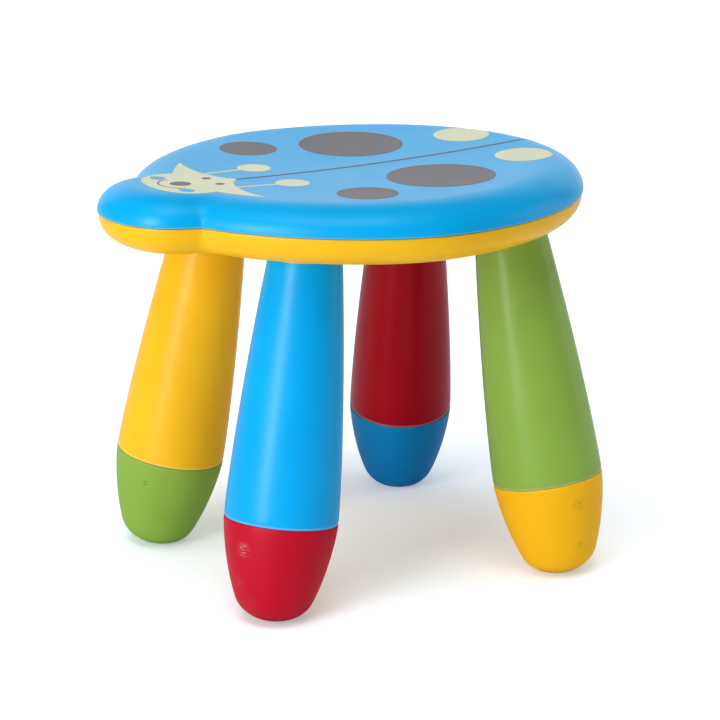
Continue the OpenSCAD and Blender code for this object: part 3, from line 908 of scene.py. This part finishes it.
screw_rings = []
for angle in steps(0, math.pi / 2, HEAD_RINGS):
    dome = HEAD_RADIUS * math.sin(angle)
    screw_rings.append(screw_ring(lambda turn, r=dome: r, HEAD_HIGH * 0.6 * (1 - math.cos(angle))))
for radius, height in ((HEAD_RADIUS, HEAD_HIGH), (THREAD_PEAK, HEAD_HIGH + 0.02 * MM)):
    screw_rings.append(screw_ring(lambda turn, r=radius: r, height))
for i in range(THREAD_RINGS):
    height = HEAD_HIGH + 0.2 * MM + (THREAD_END - HEAD_HIGH - 0.4 * MM) * i / (THREAD_RINGS - 1)
    screw_rings.append(screw_ring(lambda turn, h=height: thread_radius(turn, h), height))
one_screw = skin("one_screw", screw_rings, [(len(screw_rings) - 1, Vector((0, 0, THREAD_END)),
                                              Vector((0, 0, 0)))])
recess = [block((-x, -y, -MM), (x, y, RECESS_DEEP))
          for x, y in ((RECESS_REACH, RECESS_HALF), (RECESS_HALF, RECESS_REACH))]
combined(one_screw, "DIFFERENCE", recess)

zinc, tree, place = new_material("zinc_plated_steel")
bloom = noise(tree, place, 2 * MM, 5)
tint = mixed_colour(tree, bloom, linear("#9da2a6"), linear("#c6c8c4"))
gloss = mapped(tree, bloom, 0, 1, 0.24, 0.5)
surfaced(tree, tint, gloss, noise(tree, place, 0.3 * MM, 2), 0.2, 0.03 * MM, Metallic=1.0)

# The screws repeat: one node tree puts the screw on each hole, each turned its own way.
tree = bpy.data.node_groups.new("screws_in_holes", "GeometryNodeTree")
tree.interface.new_socket("Holes", in_out="INPUT", socket_type="NodeSocketGeometry")
screw_socket = tree.interface.new_socket("Screw", in_out="INPUT", socket_type="NodeSocketObject")
metal_socket = tree.interface.new_socket("Metal", in_out="INPUT",
                                         socket_type="NodeSocketMaterial")
tree.interface.new_socket("Screws", in_out="OUTPUT", socket_type="NodeSocketGeometry")
given = add(tree, "NodeGroupInput").outputs
source = add(tree, "GeometryNodeObjectInfo", {"Object": given["Screw"]}).outputs["Geometry"]
spin = add(tree, "FunctionNodeRandomValue", {0: (0, 0, 0), 1: (0, 0, math.pi)},
           data_type="FLOAT_VECTOR").outputs[0]
placed = add(tree, "GeometryNodeInstanceOnPoints", {"Points": given["Holes"], "Instance": source,
                                                    "Rotation": spin})
real = add(tree, "GeometryNodeRealizeInstances", {"Geometry": placed.outputs[0]})
dressed = add(tree, "GeometryNodeSetMaterial", {"Geometry": real.outputs[0],
                                                "Material": given["Metal"]})
add(tree, "NodeGroupOutput", {"Screws": dressed.outputs[0]})

hole_mesh = bpy.data.meshes.new("screw_holes")
HEAD_SUNK = 0.25 * MM
hole_mesh.from_pydata([(*boss_place(turn), FLOOR_Z + HEAD_SUNK) for turn in BOSS_TURNS], [], [])
case_screws = bpy.data.objects.new("case_screws_zinc", hole_mesh)
bpy.context.scene.collection.objects.link(case_screws)
modifier = case_screws.modifiers.new("screws", "NODES")
modifier.node_group = tree
modifier[screw_socket.identifier] = one_screw
modifier[metal_socket.identifier] = zinc
bpy.context.view_layer.update()
case_screws.data = bpy.data.meshes.new_from_object(
    case_screws.evaluated_get(bpy.context.evaluated_depsgraph_get()))
case_screws.modifiers.remove(modifier)
bpy.data.objects.remove(one_screw)
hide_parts("case_screws")
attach(case_screws, "seat")

# ---- Studio ----
# A white floor that the camera sees brighter than the stool does, a tall soft light at the
# camera's left, a wide one overhead, and a pale wall behind that the seat's top mirrors.
FLOOR_HALF = 8
FLOOR_GLOW = 0.31
ROOM_LIGHT = 0.14
AIM = Vector((0, 0, 0.15))

floor_mesh = bpy.data.meshes.new("floor")
floor_mesh.from_pydata([(-FLOOR_HALF, -FLOOR_HALF, 0), (FLOOR_HALF, -FLOOR_HALF, 0),
                        (FLOOR_HALF, FLOOR_HALF, 0), (-FLOOR_HALF, FLOOR_HALF, 0)],
                       [], [(0, 1, 2, 3)])
studio_floor = bpy.data.objects.new("floor", floor_mesh)
bpy.context.scene.collection.objects.link(studio_floor)
floor_white = bpy.data.materials.new("white_floor")
floor_white.use_nodes = True
tree = floor_white.node_tree
tree.nodes.clear()
seen = add(tree, "ShaderNodeLightPath").outputs["Is Camera Ray"]
glow = math_node(tree, "MULTIPLY", seen, FLOOR_GLOW)
shader = add(tree, "ShaderNodeBsdfPrincipled", {
    "Base Color": linear("#ebf5ff"), "Roughness": 0.9, "Specular IOR Level": 0.0,
    "Emission Color": (1, 1, 1, 1), "Emission Strength": glow})
add(tree, "ShaderNodeOutputMaterial", {"Surface": shader.outputs[0]})
floor_mesh.materials.append(floor_white)

room = bpy.data.worlds.new("room")
bpy.context.scene.world = room
room.use_nodes = True
sky = room.node_tree.nodes["Background"]
sky.inputs["Color"].default_value = (1, 1, 1, 1)
sky.inputs["Strength"].default_value = ROOM_LIGHT


def lamp(name, kind, azimuth, elevation, distance, energy):
    """A light aimed at the stool's middle, azimuth measured as the camera's is."""
    light = bpy.data.lights.new(name, kind)
    light.energy = energy
    holder = bpy.data.objects.new(name, light)
    bpy.context.scene.collection.objects.link(holder)
    turn, lift = math.radians(azimuth), math.radians(elevation)
    way = Vector((math.sin(turn) * math.cos(lift), -math.cos(turn) * math.cos(lift),
                  math.sin(lift)))
    holder.location = AIM + way * distance
    holder.rotation_euler = way.to_track_quat("Z", "Y").to_euler()
    return holder


def softbox(name, azimuth, elevation, distance, width, height, energy):
    """A rectangular area light, its sizes in metres and its energy in watts."""
    holder = lamp(name, "AREA", azimuth, elevation, distance, energy)
    holder.data.shape = "RECTANGLE"
    holder.data.size = width
    holder.data.size_y = height
    return holder


softbox("key", 20, 12, 2.0, 0.8, 1.6, 30)
softbox("wall", 239, 18, 3.0, 5.0, 2.4, 46)
softbox("rim", 165, 10, 2.4, 1.2, 1.2, 10)
# A strip that shows only in the gloss: the pale band down the front leg
gleam = softbox("gleam", 22, 10, 2.0, 0.35, 1.8, 45)
gleam.visible_diffuse = False
overhead = lamp("overhead", "SUN", 40, 76, 2.0, 1.75)
overhead.data.angle = math.radians(38)
bpy.context.scene.view_settings.view_transform = "Standard"
